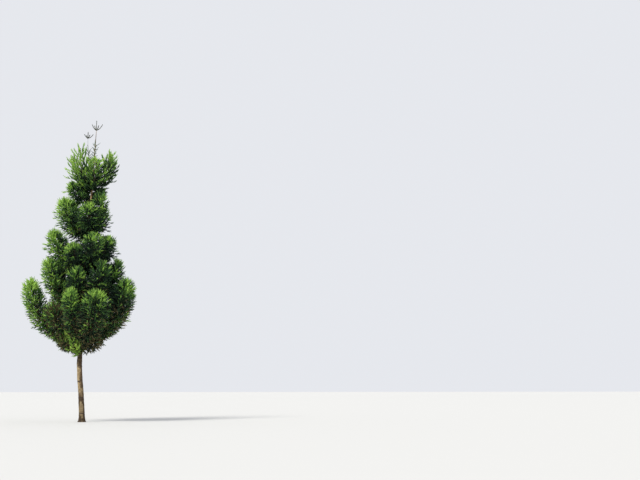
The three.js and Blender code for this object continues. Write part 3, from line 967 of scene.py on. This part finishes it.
# Pale patches: the weights of two noises, of painted light on the side that faces the light, and
# of their heights
PALE = {
    "wide": 0.8,
    "wide_grain": [9, 9, 1.6],
    "fine": 0.4,
    "fine_grain": [26, 26, 9],
    "painted_light_side": 0.5,
    "heights": 0.35,
}
# Bearing of the side that faces the light, painted paler
PAINTED_LIGHT_BEARING = 215
PALE_AT = 2.27
PALE_STEP = 0.87
PALE_STEPS = [0.26, 0.52]

# Bark of the limbs: how far it runs along them, where they thin out, and its roughness
LIMB = {"rings": 48, "sides": 9, "to": 0.95, "least_bare": 0.12, "thinnest": 0.006}
LIMB_THINS = {"from": 0.6, "by": 1.6}
LIMB_SWELLS = {"grain": 9, "depth": 0.12}
LIMB_ROUGH = {"grain": 45, "depth": 0.14}

# Second leader's bark
LEADER = {"rings": 40, "sides": 8, "grain": 40, "depth": 0.12}


def knot_rings():
    """Heights of the rings of knots on the trunk, and how many knots each has."""
    levels = np.arange(KNOT_FOOT, RING_HEIGHTS[-1] - KNOTS_END, KNOT_STEP)
    return [(level, 3 + index % 3) for index, level in enumerate(levels)]


def trunk_bark(materials):
    """Trunk with relief: hoops, knots in rings, scars, and rough flakes at the foot."""
    bare = np.arange(0, BARE_TO, BARE_STEP)
    height = np.concatenate([bare, np.linspace(BARE_TO, RING_HEIGHTS[-1], CLAD_RINGS)])
    angle = np.arange(BARK_SIDES) * 2 * math.pi / BARK_SIDES
    z, around = np.meshgrid(height, angle, indexing="ij")
    radius = trunk_radius(z)
    spot = np.stack([np.cos(around) * GRAIN_RADIUS, np.sin(around) * GRAIN_RADIUS, z], axis=-1)
    foot = np.exp(-z / ROUGH_FOOT_HEIGHT)
    hoops = noise(spot * HOOPS["grain"]) * HOOPS["depth"]
    swells = noise(spot * SWELLS["grain"]) * SWELLS["depth"]
    flakes = noise(spot * FLAKES["grain"]) * (FLAKES["depth"] + FLAKES["more_at_foot"] * foot)
    ridges = -np.abs(noise(spot * RIDGES["grain"])) * RIDGES["depth_at_foot"] * foot
    relief = hoops + swells + flakes + ridges
    scar = np.zeros_like(z)
    for ring, (ring_height, count) in enumerate(knot_rings()):
        for k in range(count):
            centre = ring * KNOT_TURN + k * 2 * math.pi / count
            centre += rng.uniform(-KNOT_SHIFT["around"], KNOT_SHIFT["around"])
            level = ring_height + rng.uniform(-KNOT_SHIFT["up"], KNOT_SHIFT["up"])
            size = rng.uniform(*KNOT_SIZE)
            apart = (around - centre + math.pi) % (2 * math.pi) - math.pi
            reach = ((apart * radius) ** 2 + KNOT_TALL * (z - level) ** 2) / size**2
            rim = KNOT_RIM["height"] * np.exp(-KNOT_RIM["fall"] * reach)
            relief += rim - KNOT_PIT["depth"] * np.exp(-KNOT_PIT["fall"] * reach)
            scar = np.maximum(scar, np.exp(-KNOT_SCAR_FALL * reach))
        wobble = BAND["wobble"] * noise(spot * BAND["wobble_grain"])
        wave = BAND["wave"] * np.sin(2 * around + ring) + wobble
        band = np.exp(-(((z - ring_height - wave) / BAND["width"]) ** 2))
        relief -= BAND["depth"] * band
        whole = noise(spot * BAND["gap_grain"]) > BAND["gaps"]
        scar = np.maximum(scar, BAND["dark"] * band * whole)
    radius = radius * SHRUNK + relief * np.clip(radius / THIN_RADIUS, 0, 1)
    spokes = np.stack([np.cos(around), np.sin(around), np.zeros_like(z)], -1)
    places = trunk_at(height)[:, None] + spokes * radius[..., None]
    index = np.arange(z.size).reshape(z.shape)
    low, high = index[:-1], index[1:]
    faces = np.stack([low, np.roll(low, -1, 1), np.roll(high, -1, 1), high], -1).reshape(-1, 4)
    pale = PALE["wide"] * noise(spot * PALE["wide_grain"])
    pale += PALE["fine"] * noise(spot * PALE["fine_grain"])
    # Painted light: the bark is paler on the side that faces the light
    pale += PALE["painted_light_side"] * np.cos(around - math.radians(PAINTED_LIGHT_BEARING))
    pale += PALE["heights"] * np.cos(2 * math.pi * (z - PALE_AT) / PALE_STEP)
    kind = np.where(scar > SCAR_FROM, 3, np.digitize(pale, PALE_STEPS))
    surfaces = [materials[name] for name in ("bark", "bark_mid", "bark_pale", "bark_scar")]
    kinds = kind[:-1].ravel()
    piece = make_mesh("trunk_bark", places.reshape(-1, 3), faces, surfaces, kinds, smooth=True)
    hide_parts("trunk")


def limb_bark(limbs, materials):
    """Boughs with relief, carried on as the stems of their plumes."""
    t = np.linspace(0, LIMB["to"], LIMB["rings"])
    paths = np.array([bezier(limb["line"], t) for limb in limbs])
    across = np.array([limb["across"] for limb in limbs])[:, None]
    radii = []
    for limb in limbs:
        bare = max(limb["from"], LIMB["least_bare"])
        collar = 1 + BOUGH_COLLAR * np.exp(-COLLAR_FADE * t / bare)
        radii.append(np.maximum(limb["root"] * (1 - LIMB_TAPER * t), LIMB["thinnest"]) * collar)
    thin = np.where(t > LIMB_THINS["from"], 1 - (t - LIMB_THINS["from"]) * LIMB_THINS["by"], 1)
    swells = 1 + LIMB_SWELLS["depth"] * noise(paths * LIMB_SWELLS["grain"])
    radii = np.array(radii) * swells * thin
    places, faces = tubes(paths, radii, LIMB["sides"], across)
    places = places.reshape(*radii.shape, LIMB["sides"], 3)
    rough = 1 + LIMB_ROUGH["depth"] * noise(places * LIMB_ROUGH["grain"])
    places = paths[:, :, None] + (places - paths[:, :, None]) * rough[..., None]
    surfaces = [materials["bough_bark"]]
    piece = make_mesh("bough_bark", places.reshape(-1, 3), faces, surfaces, smooth=True)
    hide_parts(*[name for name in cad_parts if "_bough_" in name])


def side_leader(materials):
    """Second leader beside the trunk's tip; returns its path."""
    size = {key: value for key, value in SIDE_LEADER.items() if key != "radius"}
    line, across, _ = limb_line(**size)
    t = np.linspace(0, 1, LEADER["rings"])
    path = bezier(line, t)
    swells = 1 + LEADER["depth"] * noise(path * LEADER["grain"])
    radius = SIDE_LEADER["radius"] * (1 - LIMB_TAPER * t) * swells
    parts = tubes(path[None], radius[None], LEADER["sides"], across[None, None])
    piece = make_mesh("side_leader_bark", *parts, [materials["leader_bark"]], smooth=True)
    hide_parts("side_leader")
    return path


# Materials


def plain_material(name, roughness, specular=0.3):
    """Principled material and its shader."""
    material = bpy.data.materials.new(name)
    material.use_nodes = True
    shader = material.node_tree.nodes["Principled BSDF"]
    shader.inputs["Roughness"].default_value = roughness
    shader.inputs["Specular IOR Level"].default_value = specular
    return material, shader


def add_noise(material, scale, detail, stretch=(1, 1, 1), roughness=0.6):
    """Noise texture in the object's own coordinates; returns its output."""
    tree = material.node_tree
    coordinates = tree.nodes.new("ShaderNodeTexCoord")
    mapping = tree.nodes.new("ShaderNodeMapping")
    mapping.inputs["Scale"].default_value = stretch
    texture = tree.nodes.new("ShaderNodeTexNoise")
    texture.inputs["Scale"].default_value = scale
    texture.inputs["Detail"].default_value = detail
    texture.inputs["Roughness"].default_value = roughness
    tree.links.new(coordinates.outputs["Object"], mapping.inputs["Vector"])
    tree.links.new(mapping.outputs["Vector"], texture.inputs["Vector"])
    return texture.outputs["Fac"]


def add_ramp(material, source, stops):
    """Colour ramp over a source, from (position, colour) stops; returns its output."""
    tree = material.node_tree
    ramp = tree.nodes.new("ShaderNodeValToRGB")
    elements = ramp.color_ramp.elements
    while len(elements) < len(stops):
        elements.new(0.5)
    for element, (position, colour) in zip(elements, stops):
        element.position = position
        element.color = (*colour, 1)
    tree.links.new(source, ramp.inputs["Fac"])
    return ramp.outputs["Color"]


def add_bump(material, shader, source, strength, distance):
    """Bump from a source on a shader."""
    tree = material.node_tree
    bump = tree.nodes.new("ShaderNodeBump")
    bump.inputs["Strength"].default_value = strength
    bump.inputs["Distance"].default_value = distance
    tree.links.new(source, bump.inputs["Height"])
    tree.links.new(bump.outputs["Normal"], shader.inputs["Normal"])


def foliage_material(name, colour):
    """Needle foliage: a base colour that varies a little from spray to spray."""
    material, shader = plain_material(name, roughness=0.6, specular=0.12)
    colour = np.array(colour)
    stops = [(0.3, colour * [0.70, 0.78, 0.85]), (0.5, colour), (0.72, colour * [1.35, 1.2, 1.0])]
    varied = add_ramp(material, add_noise(material, scale=6.0, detail=3.0), stops)
    material.node_tree.links.new(varied, shader.inputs["Base Color"])
    return material


def bark_material(name, stops, scale, stretch, height_shades=None):
    """Bark: tones in level bands, and a fine grain in the bump.

    height_shades are (height, factor) pairs that darken or lighten the bark by height; on the trunk
    they are darker towards the foot, and elsewhere painted shade and painted light.
    """
    material, shader = plain_material(name, roughness=0.85)
    tree = material.node_tree
    colour = add_ramp(material, add_noise(material, scale, 7.0, stretch, 0.7), stops)
    if height_shades:
        coordinates = tree.nodes.new("ShaderNodeTexCoord")
        apart = tree.nodes.new("ShaderNodeSeparateXYZ")
        span = tree.nodes.new("ShaderNodeMapRange")
        span.inputs["From Max"].default_value = RING_HEIGHTS[-1]
        tree.links.new(coordinates.outputs["Object"], apart.inputs["Vector"])
        tree.links.new(apart.outputs["Z"], span.inputs["Value"])
        shades = [(height / RING_HEIGHTS[-1], (f, f, f)) for height, f in height_shades]
        shade = add_ramp(material, span.outputs["Result"], shades)
        mix = tree.nodes.new("ShaderNodeMix")
        mix.data_type = "RGBA"
        mix.blend_type = "MULTIPLY"
        mix.inputs["Factor"].default_value = 1
        tree.links.new(colour, mix.inputs["A"])
        tree.links.new(shade, mix.inputs["B"])
        colour = mix.outputs["Result"]
    tree.links.new(colour, shader.inputs["Base Color"])
    grain = add_noise(material, 70.0, 6.0, (1, 1, 2.2), 0.7)
    add_bump(material, shader, grain, strength=0.5, distance=0.006)
    return material


# Colours of the barks by the noise, and factors on the trunk's by height: darker towards the foot,
# painted shade under the foliage from 2.75 to 9 m, and painted light where the trunk shows
# between the top tiers, from 10 to 11 m
BARK_STOPS = [
    (0.28, (0.030, 0.017, 0.010)),
    (0.42, (0.070, 0.044, 0.022)),
    (0.56, (0.120, 0.078, 0.039)),
    (0.72, (0.185, 0.125, 0.065)),
]
MID_STOPS = [
    (0.28, (0.065, 0.042, 0.023)),
    (0.44, (0.150, 0.103, 0.054)),
    (0.58, (0.255, 0.186, 0.099)),
    (0.74, (0.370, 0.285, 0.162)),
]
PALE_STOPS = [
    (0.28, (0.130, 0.087, 0.045)),
    (0.45, (0.280, 0.200, 0.105)),
    (0.60, (0.470, 0.368, 0.208)),
    (0.75, (0.640, 0.530, 0.325)),
]
SCAR_STOPS = [(0.3, (0.020, 0.013, 0.009)), (0.7, (0.080, 0.052, 0.036))]
BOUGH_STOPS = [(0.3, (0.030, 0.022, 0.015)), (0.7, (0.110, 0.080, 0.055))]
LEADER_STOPS = [(0.3, (0.070, 0.065, 0.050)), (0.7, (0.140, 0.130, 0.100))]
TRUNK_SHADES = [
    (0, 0.5),
    (0.8, 0.65),
    (1.5, 0.9),
    (2.5, 1.0),
    (2.75, 0.6),
    (9.0, 0.6),
    (10.0, 2.4),
    (11.0, 2.4),
    (11.8, 1.2),
]


def make_materials():
    """Materials of the whole tree by name."""
    materials = {name: foliage_material(f"needles_{name}", tone) for name, tone in TONES.items()}
    bands = (1.0, 1.0, 2.6)
    materials["bark"] = bark_material("trunk_bark", BARK_STOPS, 5.0, bands, TRUNK_SHADES)
    materials["bark_mid"] = bark_material("trunk_bark_mid", MID_STOPS, 6.0, bands, TRUNK_SHADES)
    materials["bark_pale"] = bark_material("trunk_bark_pale", PALE_STOPS, 7.0, bands, TRUNK_SHADES)
    materials["bark_scar"] = bark_material("trunk_bark_scar", SCAR_STOPS, 22.0, (1, 1, 2))
    materials["bough_bark"] = bark_material("bough_bark", BOUGH_STOPS, 16.0, (1, 1, 1))
    materials["leader_bark"] = bark_material("leader_bark", LEADER_STOPS, 16.0, (1, 1, 1))
    materials["leader_shoot"] = foliage_material("leader_shoot", (0.075, 0.085, 0.045))
    return materials


# Stage


def make_stage():
    """Pale floor, soft light and the camera."""
    bpy.ops.mesh.primitive_plane_add(size=700, location=(0, 0, -0.002))
    floor = bpy.context.object
    floor.name = "floor"
    material, shader = plain_material("floor_pale", roughness=0.9)
    shader.inputs["Base Color"].default_value = (0.60, 0.60, 0.59, 1)
    floor.data.materials.append(material)

    world = bpy.data.worlds.new("studio")
    bpy.context.scene.world = world
    world.use_nodes = True
    sky = world.node_tree.nodes["Background"]
    sky.inputs["Color"].default_value = (0.93, 0.95, 1.0, 1)
    sky.inputs["Strength"].default_value = 0.85

    key = bpy.data.lights.new("key", "SUN")
    key.energy = 3.0
    key.angle = math.radians(20)
    key.color = (1.0, 0.97, 0.90)
    lamp = bpy.data.objects.new("key", key)
    lamp.rotation_euler = (math.radians(42), 0, math.radians(-50))
    bpy.context.scene.collection.objects.link(lamp)

    camera = bpy.data.cameras.new("camera")
    camera.lens = CAMERA_LENS
    camera.sensor_width = 36
    camera.clip_end = 2000
    eye = bpy.data.objects.new("camera", camera)
    eye.location = CAMERA_PLACE
    eye.rotation_euler = (math.radians(90 + CAMERA_PITCH), 0, math.radians(-CAMERA_YAW))
    bpy.context.scene.collection.objects.link(eye)
    bpy.context.scene.camera = eye
    bpy.context.scene.view_settings.view_transform = "Standard"


materials = make_materials()
make_stage()

groups = {}
every_limb = []
for tier in TIERS:
    limbs = limbs_of(tier, len(every_limb))
    every_limb += limbs
    group = "inner" if tier["name"] in ("shoot", "tuft", "dry") else tier["name"]
    groups.setdefault(group, []).extend(limbs)
for group, limbs in groups.items():
    foliage_pieces(group, limbs, materials)

trunk_bark(materials)
limb_bark(every_limb, materials)
side_path = side_leader(materials)
top = trunk_at(RING_HEIGHTS[-1])
whorl_piece("side_leader_needles", "side_leader_foliage", side_path[-1], SIDE_WHORL, materials)
whorl_piece("leader_needles", "leader_foliage", top, LEADER_WHORL, materials)
side_from, side_to = (round(share * len(side_path)) for share in SIDE_SPRIG_SHARES)
leader_sprigs("side_leader_sprigs", "side_leader_foliage", side_path[side_from:side_to], materials)
leader_path = trunk_at(np.linspace(*SPRIG_HEIGHTS, SPRIG_STEPS))
leader_sprigs("leader_sprigs", "leader_foliage", leader_path, materials)
